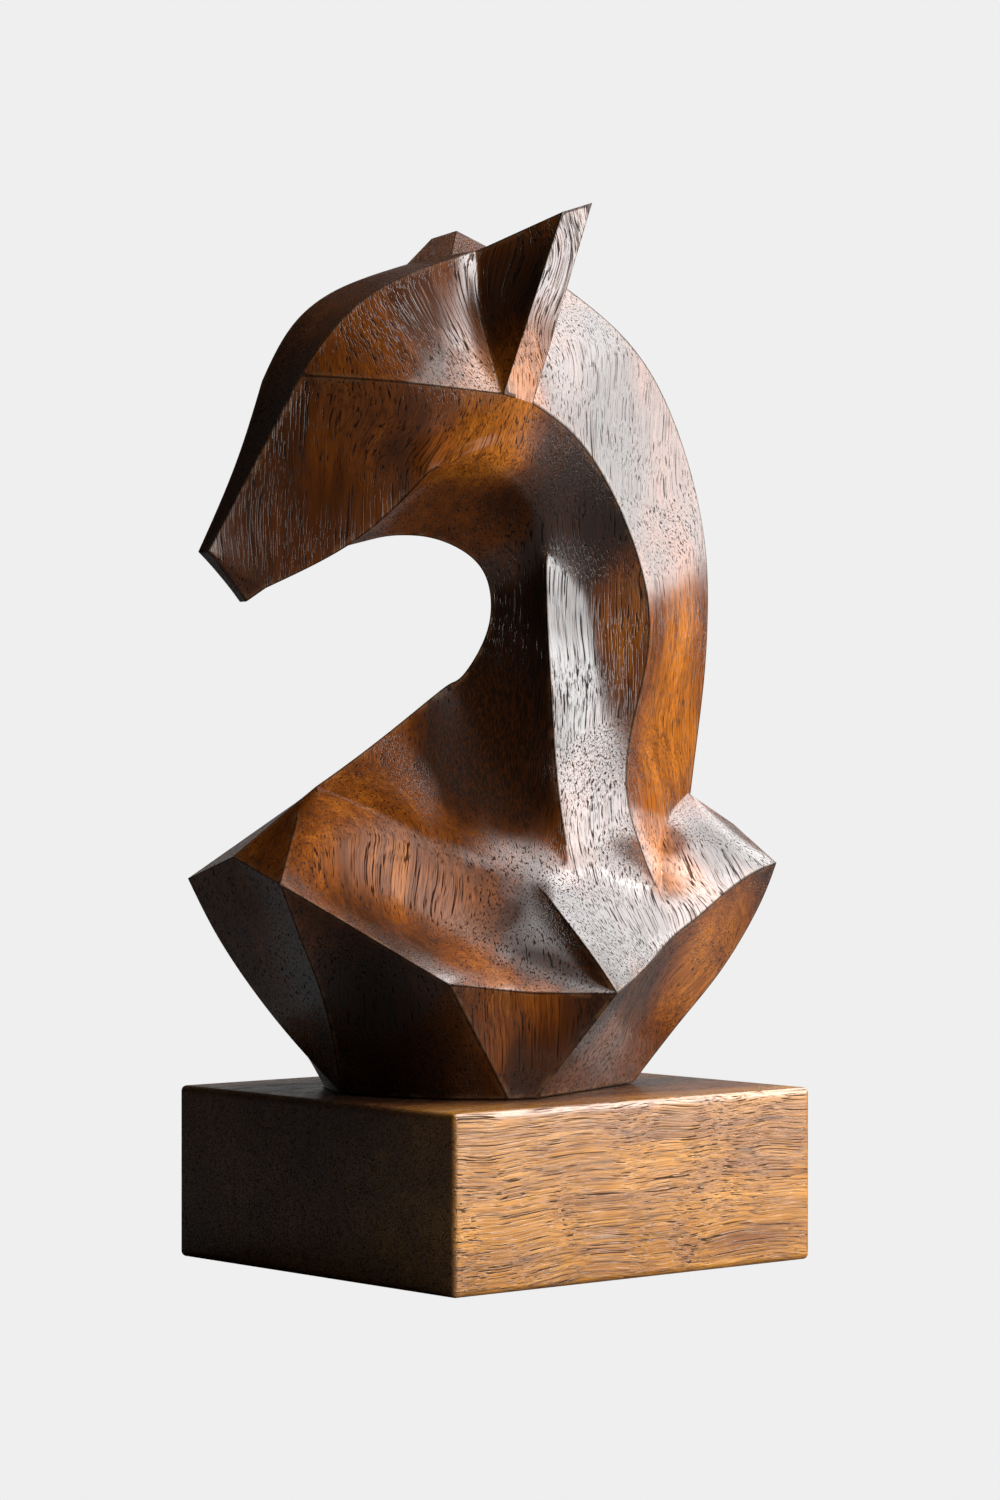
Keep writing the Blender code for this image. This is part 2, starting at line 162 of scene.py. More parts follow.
BODY = {
    "breast_top": (57.8, 0.0, 86.0),
    "breast_low": (62.3, 0.0, 82.7),
    "shoulder_top_1": (44.5, 4.8, 80.3),
    "shoulder_top_2": (29.4, 11.8, 72.4),
    "shoulder_top_3": (14.0, 18.3, 65.1),
    "shoulder_top_4": (3.4, 27.5, 58.5),
    "shoulder_back": (1.9, 32.3, 55.7),
    "shoulder_rear": (-1.4, 51.2, 39.7),
    # Shield-shaped facet of the breast
    "shield_peak": (83.9, 0.0, 66.7),
    "shield_corner": (83.8, 28.0, 59.9),
    "shield_1": (76.6, 25.9, 45.0),
    "shield_2": (67.9, 21.6, 30.0),
    "shield_3": (59.2, 12.8, 15.0),
    "shield_line_1": (75.0, 0.0, 45.5),
    "shield_line_2": (67.0, 0.0, 30.4),
    "shield_line_3": (58.7, 0.0, 15.2),
    "flank_top_1": (71.0, 36.1, 51.1),
    "flank_top_2": (58.1, 44.6, 41.9),
    "elbow": (44.3, 51.3, 32.8),
    "belly": (19.2, 54.4, 30.1),
    "stifle": (-5.6, 57.7, 29.2),
    # Edge of the rump, round to the tail
    "rump_edge_1": (-21.0, 48.1, 35.1),
    "rump_edge_2": (-34.1, 41.6, 43.6),
    "rump_edge_3": (-44.2, 37.6, 47.8),
    "rump_edge_4": (-59.6, 31.4, 55.8),
    "rump_edge_5": (-72.6, 27.2, 61.1),
    "rump_corner": (-80.9, 25.0, 63.2),
    "rump_peak": (-82.5, 0.0, 74.1),
    "tail_1": (-76.8, 22.3, 50.7),
    "tail_2": (-65.6, 19.5, 32.2),
    "tail_3": (-53.4, 16.8, 18.1),
    "tail_line_1": (-77.8, 0.0, 53.0),
    "tail_line_2": (-66.6, 0.0, 33.0),
    "tail_line_3": (-54.2, 0.0, 18.1),
}

FOOT = {
    "foot_front": (50.0, 0.0, 0.0),
    "foot_front_1": (47.0, 13.0, 0.0),
    "foot_front_2": (38.0, 31.5, 0.0),
    "foot_side_front": (21.0, 43.5, 0.0),
    "foot_side_rear": (12.1, 43.6, 0.0),
    "foot_side": (-13.0, 29.3, 0.0),
    "foot_rear_corner": (-39.3, 12.7, 0.0),
    "foot_rear": (-40.5, 0.0, 0.0),
}

# Lines of points that several sheets and ridges share, or that are worked out between two others
THROAT_LINE = "under_jaw throat_1 throat_2 throat_3 throat_4 throat_5 throat_6 throat_7 throat_8"
RIM_LINE = "jaw_low jaw_mid jaw_throat rim_1 rim_2 rim_3 rib_0 rib_1 rib_2"
HOLLOW_LINE = "hollow_0 hollow_1 hollow_2 hollow_3 hollow_4 hollow_5 hollow_6 hollow_7 hollow_8"
RIB_SIDE = "rim_2 rim_3 rib_0 rib_1 rib_2 rib_3 rib_4 rib_5"
MANE_SIDE = "mane_1 mane_2 mane_3 mane_4 mane_5 mane_6 mane_7 mane_8"
FLUTE_LINE = "flute_0 flute_1 flute_2 flute_3 flute_4 flute_5 flute_6 flute_7"
SHOULDER_TOP = "shoulder_top_1 shoulder_top_2 shoulder_top_3 shoulder_top_4"
SHOULDER_FOOT = "shield_corner flank_top_1 flank_top_2 elbow"
SCOOP_LINE = "scoop_1 scoop_2 scoop_3 scoop_4"
CREST_LINE = "crest_2 crest_3 crest_4 crest_5 crest_6 crest_7 crest_8 crest_9 crest_end"
RUMP_LINE = "rump_edge_1 rump_edge_2 rump_edge_3 rump_edge_4 rump_edge_5 rump_corner"
SHIELD_LINE = "shield_corner shield_1 shield_2 shield_3 foot_front"
FOOT_LINE = " ".join(FOOT)
FLANK_LINES = [
    "flank_top_1 flank_1 flank_2 flank_3 foot_front_1",
    "flank_top_2 flank_4 flank_5 flank_6 foot_front_2",
    "elbow elbow_1 elbow_2 elbow_3 foot_side_front",
]

# Sheets of the carving, each spanned between two lines of points; a point named twice closes a corner
SHEETS = [
    # Forehead, cheek and temple
    ("nose bridge brow forehead forelock poll",
     "nose_edge bridge_edge brow_edge forehead_edge forelock_edge ear_inner"),
    ("nose_edge nose_edge bridge_edge brow_edge temple ear_root",
     "chin_cheek chin_back jaw_low jaw_mid jaw_throat jaw_angle"),
    ("forehead_edge forelock_edge ear_inner", "brow_edge temple ear_crease_high"),
    ("temple ear_root", "ear_crease_high ear_crease_low"),
    # Muzzle end and chin
    ("nose chin", "nose_edge chin_edge"),
    ("nose_edge chin_edge chin_edge", "chin_cheek chin_cheek chin_back"),
    ("chin under_chin", "chin_edge chin_back"),
    # Ear: front, outer strip, inner faces, back
    ("ear_inner ear_crease_high ear_crease_low ear_root", "ear_front ear_front ear_front ear_front"),
    ("ear_front ear_root", "ear_tip ear_back"),
    ("poll ear_inner ear_front ear_tip crest_2", "ear_valley ear_valley ear_valley ear_valley ear_valley"),
    ("ear_tip ear_back", "crest_2 crest_2"),
    # Hollow of the throat, from the median line out to the jaw, the rim and the rib
    ("under_chin " + THROAT_LINE + " throat_9 keel_1", "chin_back " + HOLLOW_LINE + " fold_0 fold_1"),
    ("chin_back " + HOLLOW_LINE + " fold_0 fold_1 fold_2 rib_end",
     "chin_back " + RIM_LINE + " rib_3 rib_4 rib_5 rib_end"),
    # Breast
    ("breast_top keel_3 keel_2 keel_1", "breast_top shoulder_top_1 shoulder_top_2 fold_1"),
    ("fold_1 fold_2 rib_end rib_end", "shoulder_top_2 shoulder_top_3 shoulder_top_4 shoulder_back"),
    # Fluted side of the neck, and the back below it
    ("jaw_angle cheek_fall", "jaw_throat rim_1"),
    ("rim_1 " + RIB_SIDE + " rib_end", "cheek_fall " + FLUTE_LINE + " neck_end_1"),
    ("jaw_angle cheek_fall cheek_fall " + FLUTE_LINE + " neck_end_1",
     "ear_root ear_root ear_back " + MANE_SIDE + " mane_tip"),
    ("rib_end neck_end_1 mane_tip", "shoulder_back neck_end_2 rump_edge_2"),
    ("shoulder_back neck_end_2 rump_edge_2", "shoulder_rear stifle rump_edge_1"),
    # Mane, and the top of the rump
    ("ear_back ear_back " + MANE_SIDE + " mane_tip", CREST_LINE + " mane_foot_1 mane_foot_2"),
    ("mane_tip mane_foot_2 mane_foot_1 crest_end rump_peak",
     "rump_edge_2 rump_edge_3 rump_edge_4 rump_edge_5 rump_corner"),
    # Shoulder, breast facet and shield
    ("breast_top " + SHOULDER_TOP + " shoulder_rear", "breast_top " + SCOOP_LINE + " stifle"),
    ("breast_top " + SCOOP_LINE + " stifle", "breast_low " + SHOULDER_FOOT + " belly"),
    ("shoulder_top_4 shoulder_back", "shoulder_rear shoulder_rear"),
    ("breast_low shield_peak", "shield_corner shield_corner"),
    ("shield_peak shield_line_1 shield_line_2 shield_line_3 foot_front", SHIELD_LINE),
    # Front flank, rear flank and tail
    (SHIELD_LINE, FLANK_LINES[0]),
    (FLANK_LINES[0], FLANK_LINES[1]),
    (FLANK_LINES[1], FLANK_LINES[2]),
    ("stifle " + RUMP_LINE, "foot_side_rear foot_side foot_rear_corner tail_3 tail_2 tail_1 rump_corner"),
    ("rump_peak tail_line_1 tail_line_2 tail_line_3 foot_rear",
     "rump_corner tail_1 tail_2 tail_3 foot_rear_corner"),
]

# Facets with more than four corners: side and underside
FACETS = [
    FLANK_LINES[2] + " foot_side_rear stifle belly",
    FOOT_LINE,
]

# Ridges: lines of points that stay crisp
RIDGES = [
    "nose nose_edge bridge_edge brow_edge forehead_edge forelock_edge ear_inner poll",
    "nose_edge chin_cheek chin_edge chin",
    "chin_cheek chin_back",
    "brow_edge temple ear_root",
    "ear_inner ear_crease_high ear_crease_low ear_root",
    "ear_inner ear_front ear_tip ear_back",
    "ear_front ear_root ear_back crest_2 ear_tip ear_valley ear_inner",
    "poll ear_valley crest_2",
    "ear_root jaw_angle jaw_throat jaw_mid jaw_low chin_back chin_edge",
    CREST_LINE + " rump_peak",
    THROAT_LINE + " throat_9 keel_1 keel_2 keel_3 breast_top breast_low shield_peak",
    "rib_0 rib_1 rib_2 rib_3 rib_4 rib_5",
    "ear_back " + MANE_SIDE + " mane_tip mane_foot_2 mane_foot_1 crest_end",
    "breast_top " + SHOULDER_TOP + " shoulder_back",
    "shoulder_back shoulder_rear stifle",
    "breast_low shield_corner",
    "shield_peak " + SHIELD_LINE,
    SHOULDER_FOOT + " belly stifle",
    "stifle " + RUMP_LINE,
    FLANK_LINES[2],
    "stifle foot_side_rear",
    "rump_peak rump_corner tail_1 tail_2 tail_3 foot_rear_corner",
    FOOT_LINE,
]
SOFT_RIDGES = {
    "jaw_throat rim_1 rim_2 rim_3 rib_0": SOFT,
    "rib_5 rib_end": FADING,
}


def side_by_side(*lines):
    """Walks several lines of points side by side."""
    return zip(*(line.split() for line in lines))


def add_worked_out_points(points):
    """The floors of the throat's hollow, the flute and the shoulder, and the steps down the front flank."""
    centre = Vector(THROAT_HOLLOW_CENTRE)
    for name, inner, outer in side_by_side(HOLLOW_LINE, THROAT_LINE, RIM_LINE):
        middle = points[inner].lerp(points[outer], MIDDLE)
        away = middle - centre
        away.y = 0.0
        points[name] = middle + away.normalized() * THROAT_HOLLOW
    flute = side_by_side(FLUTE_LINE, RIB_SIDE, MANE_SIDE)
    for (name, front, rear), depth in zip(flute, FLUTE_DEPTHS):
        points[name] = points[front].lerp(points[rear], MIDDLE) - Vector((0.0, depth, 0.0))
    scoop = side_by_side(SCOOP_LINE, SHOULDER_TOP, SHOULDER_FOOT)
    for (name, top, bottom), depth in zip(scoop, SCOOP_DEPTHS):
        points[name] = points[top].lerp(points[bottom], MIDDLE) - Vector((0.0, depth, depth))
    for line in FLANK_LINES:
        names = line.split()
        steps = len(names) - 1
        for step in range(1, steps):
            points[names[step]] = points[names[0]].lerp(points[names[steps]], step / steps)


# Smoothing draws a bent ridge in by a sixth of its bend
BEND_PARTS = 6.0


def stand_out(points):
    """The points with those of each bent ridge moved out by as much as smoothing will draw them in."""
    creases = Counter()
    for ridge in RIDGES:
        names = ridge.split()
        for first, second in zip(names, names[1:]):
            leaves_middle = (points[first].y == 0.0) != (points[second].y == 0.0)
            for name in (first, second):
                creases[name] += 2 if leaves_middle and points[name].y == 0.0 else 1
    moved = dict(points)
    for ridge in RIDGES:
        names = ridge.split()
        for before, name, after in zip(names, names[1:], names[2:]):
            if creases[name] == 2:
                bend = points[before] + points[after] - 2.0 * points[name]
                moved[name] = points[name] - bend / BEND_PARTS
    return moved


def horse_points():
    """All the points of the left half by name, the worked out ones too."""
    points = {}
    for group in (HEAD, NECK, BODY, FOOT):
        for name, place in group.items():
            points[name] = Vector(place)
    add_worked_out_points(points)
    return stand_out(points)


def add_sheet(cage, vertices, first_line, second_line):
    """Faces between two lines of points, with three corners where a line stays at one point."""
    first = [vertices[name] for name in first_line.split()]
    second = [vertices[name] for name in second_line.split()]
    for a, b, c, d in zip(first, first[1:], second[1:], second):
        corners = list(dict.fromkeys((a, b, c, d)))
        cage.faces.new(corners)


def set_creases(cage, vertices, ridge, value, layer):
    names = ridge.split()
    for first, second in zip(names, names[1:]):
        edge = cage.edges.get((vertices[first], vertices[second]))
        edge[layer] = value


def horse_cage():
    """The left half of the horse as an open cage, with its ridges marked as creases."""
    unit = HORSE_HEIGHT / DRAWN_HEIGHT
    cage = bmesh.new()
    vertices = {}
    for name, point in horse_points().items():
        vertices[name] = cage.verts.new(Vector((point.y, -point.x, point.z)) * unit)
    for first_line, second_line in SHEETS:
        add_sheet(cage, vertices, first_line, second_line)
    for facet in FACETS:
        cage.faces.new([vertices[name] for name in facet.split()])
    bmesh.ops.recalc_face_normals(cage, faces=cage.faces)
    layer = cage.edges.layers.float.new("crease_edge")
    for ridge in RIDGES:
        set_creases(cage, vertices, ridge, 1.0, layer)
    for ridge, value in SOFT_RIDGES.items():
        set_creases(cage, vertices, ridge, value, layer)
    mesh = bpy.data.meshes.new("horse")
    cage.to_mesh(mesh)
    cage.free()
    return mesh


# Eased arrises, the slight unevenness that a plane and a gouge leave, and where hands and cloths have worn it
RIDGE_ANGLE = math.radians(17.0)
RIDGE_STEPS = 5
EASING = 0.00035
EASING_STEPS = 2
ROUND_PROFILE = 0.5
JOIN_DISTANCE = 0.00005
TOOL_WAVE = 0.011
TOOL_DEPTH = 0.00007
WEAR_REACH = 0.0016

# Gives the broad flat faces all the say in the shading next to their eased edges
FLAT_FACES_FIRST = 100


def carve_whole(half):
    """The whole horse from its left half, with the facets' edges still sharp."""
    blank = bpy.data.objects.new("blank", half)
    bpy.context.scene.collection.objects.link(blank)
    mirror = blank.modifiers.new("other side", "MIRROR")
    mirror.use_axis = (True, False, False)
    mirror.merge_threshold = JOIN_DISTANCE
    carving = blank.modifiers.new("carving", "SUBSURF")
    carving.levels = FINISHED_LEVELS
    carving.render_levels = FINISHED_LEVELS
    graph = bpy.context.evaluated_depsgraph_get()
    whole = bpy.data.meshes.new_from_object(blank.evaluated_get(graph))
    bpy.data.objects.remove(blank)
    bpy.data.meshes.remove(half)
    return whole


def sharp_ridges(solid):
    return [edge for edge in solid.edges if edge.calc_face_angle_signed(0.0) > RIDGE_ANGLE]


def ridge_finder(solid):
    """A search tree over points along the sharp ridges."""
    ends = [(edge.verts[0].co, edge.verts[1].co) for edge in sharp_ridges(solid)]
    steps = [(step + 0.5) / RIDGE_STEPS for step in range(RIDGE_STEPS)]
    points = [first.lerp(second, share) for first, second in ends for share in steps]
    tree = kdtree.KDTree(len(points))
    for index, point in enumerate(points):
        tree.insert(point, index)
    tree.balance()
    return tree


def finish_solid(mesh, place):
    """Eases the arrises, takes the tool's slight waves out of the faces and notes where the wood is worn."""
    solid = bmesh.new()
    solid.from_mesh(mesh)
    solid.transform(place)
    ridges = ridge_finder(solid)
    bmesh.ops.bevel(
        solid,
        geom=sharp_ridges(solid),
        offset=EASING,
        offset_type="OFFSET",
        segments=EASING_STEPS,
        profile=ROUND_PROFILE,
        affect="EDGES",
        clamp_overlap=True,
    )
    bmesh.ops.recalc_face_normals(solid, faces=solid.faces)
    solid.normal_update()
    worn = solid.verts.layers.float.new("worn")
    for vertex in solid.verts:
        distance = ridges.find(vertex.co)[2]
        wear = max(0.0, 1.0 - distance / WEAR_REACH)
        vertex[worn] = wear
        wave = 0.5 + 0.5 * noise.noise(vertex.co / TOOL_WAVE)
        vertex.co -= vertex.normal * TOOL_DEPTH * wave * (1.0 - wear)
    solid.to_mesh(mesh)
    solid.free()


def finished_piece(name, mesh, material):
    """An object of the mesh in its material, with its faces shaded flat and its eased edges round."""
    for face in mesh.polygons:
        face.use_smooth = True
    mesh.materials.append(material)
    piece = bpy.data.objects.new(name, mesh)
    bpy.context.scene.collection.objects.link(piece)
    even = piece.modifiers.new("even shading", "WEIGHTED_NORMAL")
    even.weight = FLAT_FACES_FIRST
    return piece


def add_node(tree, kind, inputs=(), **settings):
    """Adds a shader node; an input is another node's output, which is joined to it, or a plain value."""
    node = tree.nodes.new(kind)
    for name, value in settings.items():
        setattr(node, name, value)
    for key, value in dict(inputs).items():
        if isinstance(value, bpy.types.NodeSocket):
            tree.links.new(value, node.inputs[key])
        else:
            node.inputs[key].default_value = value
    return node


def maths(tree, operation, *values):
    return add_node(tree, "ShaderNodeMath", enumerate(values), operation=operation).outputs[0]


def times(tree, first, second):
    return maths(tree, "MULTIPLY", first, second)


def remainder(tree, share):
    """What a share leaves of the whole."""
    return maths(tree, "SUBTRACT", 1.0, share)


def added(tree, first, second):
    """The sum of two places."""
    return add_node(tree, "ShaderNodeVectorMath", {0: first, 1: second}, operation="ADD").outputs[0]


def scaled(tree, place, factor):
    return add_node(tree, "ShaderNodeVectorMath", {0: place, "Scale": factor}, operation="SCALE").outputs[0]


def stretched(tree, place, across, lengthwise, shift=(0.0, 0.0, 0.0)):
    """The place in the block, scaled by so many steps a millimetre across the grain and along it."""
    inputs = {"Vector": place, "Location": shift, "Scale": (across, across, lengthwise)}
    return add_node(tree, "ShaderNodeMapping", inputs).outputs[0]


def pattern(tree, place, across, lengthwise, shift, detail, roughness):
    """Noise from zero to one, drawn out along the grain."""
    stretch = stretched(tree, place, across, lengthwise, shift)
    inputs = {"Vector": stretch, "Scale": 1.0, "Detail": detail, "Roughness": roughness}
    return add_node(tree, "ShaderNodeTexNoise", inputs).outputs["Fac"]


def off_middle(tree, value):
    """How far a pattern is from its middle, which is next to nothing along thin winding lines."""
    return maths(tree, "ABSOLUTE", maths(tree, "SUBTRACT", value, 0.5))


def between(tree, value, low, high, to_low=0.0, to_high=1.0):
    """Carries a value that lies between low and high smoothly over to the range to_low to to_high."""
    inputs = {"Value": value, "From Min": low, "From Max": high, "To Min": to_low, "To Max": to_high}
    return add_node(tree, "ShaderNodeMapRange", inputs, interpolation_type="SMOOTHSTEP").outputs[0]


def tones(tree, value, stops):
    """Colours the value by its stops; a new stop starts halfway and is then put in its place."""
    ramp = add_node(tree, "ShaderNodeValToRGB", {"Fac": value})
    elements = ramp.color_ramp.elements
    while len(elements) < len(stops):
        elements.new(0.5)
    for element, (position, colour) in zip(elements, stops):
        element.position = position
        element.color = (*colour, 1.0)
    return ramp.outputs["Color"]


def blended(tree, share, first, second):
    """The first colour with the given share of the second in it."""
    inputs = {"Factor": share, "A": first, "B": second}
    mix = tree.nodes.new("ShaderNodeMix")
    mix.data_type = "RGBA"
    for socket in mix.inputs:
        if socket.name in inputs and socket.type in ("RGBA", "VALUE") and socket.enabled:
            value = inputs[socket.name]
            if isinstance(value, bpy.types.NodeSocket):
                tree.links.new(value, socket)
            elif socket.type == "RGBA":
                socket.default_value = (*value, 1.0)
            else:
                socket.default_value = value
    return next(socket for socket in mix.outputs if socket.enabled)


# Walnut, from its dark heart to its golden streaks, and the open pores and rubbed edges
HORSE_TONES = [
    (0.0, (0.008, 0.0035, 0.0017)),
    (0.3, (0.043, 0.0115, 0.0022)),
    (0.6, (0.13, 0.033, 0.0034)),
    (1.0, (0.36, 0.112, 0.011)),
]
FIBRE_BROWN = (0.045, 0.0115, 0.0022)
VEIN_DARK = (0.013, 0.0048, 0.002)
PORE_DARK = (0.006, 0.003, 0.002)
WORN_PALE = (0.15, 0.07, 0.03)

# Patterns in the wood: steps a millimetre across the grain and along it, the shift that keeps one pattern
# from following another, the detail and the roughness
UNSHIFTED = (0.0, 0.0, 0.0)
BROAD_BANDS = (0.075, 0.006, UNSHIFTED, 2.0, 0.6)
NARROW_BANDS = (0.42, 0.016, (5.0, 2.0, 0.0), 3.0, 0.6)
CLOUDS = (0.07, 0.045, (3.0, 7.0, 1.0), 4.0, 0.6)
VEINS = (0.2, 0.007, (9.0, 4.0, 2.0), 1.0, 0.55)
FIBRES = (2.2, 0.06, UNSHIFTED, 3.0, 0.65)
SPLITS = (0.8, 0.004, (1.0, 6.0, 3.0), 0.0, 0.55)
RUBBING = (0.25, 0.25, UNSHIFTED, 3.0, 0.55)
POLISH = (0.12, 0.06, UNSHIFTED, 2.0, 0.55)

# Pores are strokes of a size given for each piece, with hairs between them that are this much finer. Both
# have the same detail and roughness
HAIR_FINENESS = 1.8
STROKE_NOISE = (1.0, 0.5)
HAIR_SHIFT = (2.0, 1.0, 8.0)

# How the bands and clouds add up to the tone of the wood, and what they add up to on average
BROAD_SHARE = 0.5
NARROW_SHARE = 0.55
CLOUD_SHARE = 0.45
MEAN_TONE = 0.75

# Where in its pattern, or in the wear, each mark begins to show and where it shows fully
VEIN_EDGES = (0.0, 0.022)
FIBRE_EDGES = (0.35, 0.6)
STROKE_EDGES = (0.58, 0.67)
HAIR_EDGES = (0.6, 0.72)
SPLIT_EDGES = (0.01, 0.05)
INK_EDGES = (0.66, 0.8)
RUB_EDGES = (0.4, 0.62)
POLISH_EDGES = (0.3, 0.7)
GLOSS_EDGES = (0.3, 0.6)

# How strongly it shows there, and what it does to the gloss, the roughness and the relief
VEIN_SHARE = 0.45
FIBRE_SHARE = 0.55
PORE_SHARE = 0.85
HAIR_SHARE = 0.7
RUB_SHARES = (0.05, 0.65)
GLOSS_SHARES = (0.55, 0.98)
PORE_GLOSS = 0.12
LEAST_GLOSS = 0.1
POLISH_SPREAD = 0.03
PORE_ROUGHNESS = 0.4
FIBRE_RELIEF = 0.25
RELIEF_DEPTH = 0.00006

# In a metre, since the patterns, streaks and patches are all in millimetres
MILLIMETRES = 1000.0

# The grain's own waviness: its steps a millimetre, its detail and how many millimetres it sways over
SWAY_STEPS = (0.02, 0.024)
SWAY_DETAIL = 1.0
SWAY_REACH = 8.0

# Heights are squeezed by this much before the reach of a streak or of a patch of painted light or shade is
# measured, which makes it longer along the grain, and it strays by so many sways
STREAK_SQUEEZE = 0.5
STREAK_SWAY = 2.5

# Patches that are partly golden streaks and dark heart of the wood and partly painted light (above zero) and
# painted shade (below), such as the painted shadow of the neck and rib on the breast and the painted shade on
# the shoulder's far side: the middle in millimetres, the reach across the grain and the strength
HORSE_STREAKS_AND_PAINTED_LIGHT = [
    (21.0, 56.0, 156.0, 26.0, 0.38),
    (29.0, 38.0, 112.0, 13.0, 0.3),
    (32.0, -14.0, 254.0, 12.0, 0.28),
    (26.0, -25.0, 234.0, 22.0, 0.4),
    (25.0, 28.0, 184.0, 15.0, 0.4),
    (-2.0, -42.0, 139.0, 26.0, 0.14),
    (8.0, -62.0, 110.0, 34.0, 0.14),
    (22.0, -44.0, 100.0, 26.0, 0.12),
    (2.0, -58.0, 258.0, 24.0, 0.2),
    (36.0, 54.0, 82.0, 25.0, 0.4),
    (45.0, -41.0, 77.0, 20.0, 0.28),
    (20.0, 57.0, 191.0, 13.0, 0.12),
    (52.0, -20.0, 69.0, 14.0, 0.4),
    (40.0, 63.0, 100.0, 13.0, 0.3),
    (26.0, 44.0, 120.0, 16.0, 0.22),
    (-28.0, -74.0, 92.0, 34.0, 0.2),
    (6.0, -4.0, 156.0, 26.0, -0.8),
    (42.0, -12.0, 94.0, 24.0, -0.42),
    (47.0, -9.0, 86.0, 16.0, -0.4),
    (44.0, -24.0, 56.0, 13.0, -0.35),
    (14.0, -68.0, 70.0, 26.0, -0.3),
    (25.0, -17.0, 273.0, 13.0, -0.25),
    (-6.0, -72.0, 222.0, 24.0, -0.15),
    (18.0, 12.0, 168.0, 15.0, -0.3),
    (42.0, 14.0, 102.0, 20.0, -0.3),
    (30.0, 62.0, 118.0, 20.0, -0.45),
    (18.0, 32.0, 254.0, 24.0, -0.3),
    (25.0, 12.0, 213.0, 27.0, -0.36),
    (24.0, -56.0, 58.0, 34.0, -0.4),
]

# Where the wood looks dull in the photo, as if the oil had sunk in: the middle, the reach and how much of
# the shine is gone
HORSE_DULL = [
    (2.0, -67.0, 120.0, 34.0, 0.95),
    (18.0, -50.0, 104.0, 34.0, 0.85),
    (34.0, -32.0, 90.0, 26.0, 0.8),
    (54.0, -18.0, 81.0, 22.0, 0.85),
    (11.0, -35.0, 115.0, 26.0, 0.8),
    (44.0, -6.0, 92.0, 14.0, 0.1),
    (16.0, 0.0, 128.0, 15.0, 0.75),
    (0.0, -20.0, 158.0, 22.0, 0.5),
    (22.0, 46.0, 124.0, 13.0, 0.5),
    (33.0, 37.0, 107.0, 9.0, 0.6),
    (-28.0, -74.0, 94.0, 34.0, 0.6),
    (44.0, -24.0, 58.0, 20.0, 0.6),
    (-5.0, -48.0, 134.0, 24.0, 0.75),
    (2.0, -8.0, 152.0, 32.0, 0.9),
    (16.0, 12.0, 187.0, 14.0, 0.35),
    (9.0, -13.0, 133.0, 19.0, 0.7),
    (19.0, 52.0, 146.0, 22.0, 0.3),
    (17.0, -31.0, 274.0, 14.0, 0.4),
    (20.0, -38.0, 228.0, 10.0, 0.7),
    (24.0, -18.0, 106.0, 15.0, 0.75),
    (20.0, 55.0, 158.0, 34.0, 0.4),
    (23.0, 42.0, 124.0, 15.0, 0.6),
    (28.0, 57.0, 117.0, 16.0, 0.35),
    (34.0, -12.0, 256.0, 22.0, 0.68),
    (26.0, -25.0, 232.0, 17.0, 0.85),
    (12.0, -52.0, 236.0, 36.0, 0.5),
    (-6.0, -74.0, 210.0, 34.0, 0.55),
    (26.0, 36.0, 60.0, 26.0, 0.85),
    (24.0, -58.0, 62.0, 28.0, 0.5),
]

# Where the grain leans: the middle, the reach, and the lean along X and Y for each millimetre up
HORSE_LEANS = [
    (36.0, 38.0, 108.0, 52.0, -1.0, 0.35),
    (45.0, 6.0, 96.0, 24.0, -0.32, 0.1),
    (38.0, 70.0, 112.0, 26.0, -0.35, 0.1),
    (32.0, 52.0, 76.0, 34.0, 0.12, 1.0),
    (12.0, -50.0, 108.0, 42.0, -0.79, 0.68),
    (16.0, 30.0, 242.0, 50.0, -0.56, 0.48),
    (12.0, 20.0, 268.0, 30.0, -0.15, -0.1),
    (18.0, -38.0, 262.0, 40.0, -0.3, -0.3),
    (36.0, -4.0, 274.0, 26.0, 0.15, 0.32),
    (47.0, -28.0, 70.0, 30.0, 0.35, -0.3),
]

# Where the grain has opened in long grooves, on the left ear's outer strip: the middle, the reach and how
# dark they are
EAR_GROOVES = [
    (36.0, -4.0, 276.0, 32.0, 0.85),
]

# How dark the line of old oil along the horse's arrises is
EDGE_INK = 0.75

# The share of its reach over which a patch is at full strength
PATCH_CORE = 0.35


def nearness(tree, place, middle, reach, most=1.0):
    """The given value near the middle, falling smoothly to zero at the reach."""
    distance = add_node(tree, "ShaderNodeVectorMath", {0: place, 1: middle}, operation="DISTANCE")
    return between(tree, distance.outputs["Value"], reach * PATCH_CORE, reach, most, 0.0)


def patches(tree, place, spots):
    """The sum of all the patches at the place."""
    total = 0.0
    for *middle, reach, strength in spots:
        total = maths(tree, "ADD", total, nearness(tree, place, middle, reach, strength))
    return total


def leaning(tree, place, leans):
    """The place in the block once its leaning grain is set upright again."""
    height = add_node(tree, "ShaderNodeSeparateXYZ", {0: place}).outputs["Z"]
    upright = place
    for *middle, reach, lean_x, lean_y in leans:
        share = times(tree, nearness(tree, place, middle, reach), -1.0)
        rise = times(tree, maths(tree, "SUBTRACT", height, middle[2]), share)
        upright = added(tree, upright, scaled(tree, (lean_x, lean_y, 0.0), rise))
    return upright


def grain_places(tree, turn_to_grain, leans):
    """The place in the block as sawn, how far the grain sways there, and the place in the straight grain."""
    raw = add_node(tree, "ShaderNodeTexCoord").outputs["Object"]
    turned = add_node(tree, "ShaderNodeMapping", {"Vector": raw, "Rotation": turn_to_grain}).outputs[0]
    sawn = scaled(tree, turned, MILLIMETRES)
    waves = {"Vector": stretched(tree, sawn, *SWAY_STEPS), "Scale": 1.0, "Detail": SWAY_DETAIL}
    sway = add_node(tree, "ShaderNodeTexNoise", waves).outputs["Color"]
    sway = scaled(tree, added(tree, sway, (-0.5, -0.5, -0.5)), SWAY_REACH)
    return sawn, sway, added(tree, leaning(tree, sawn, leans), sway)


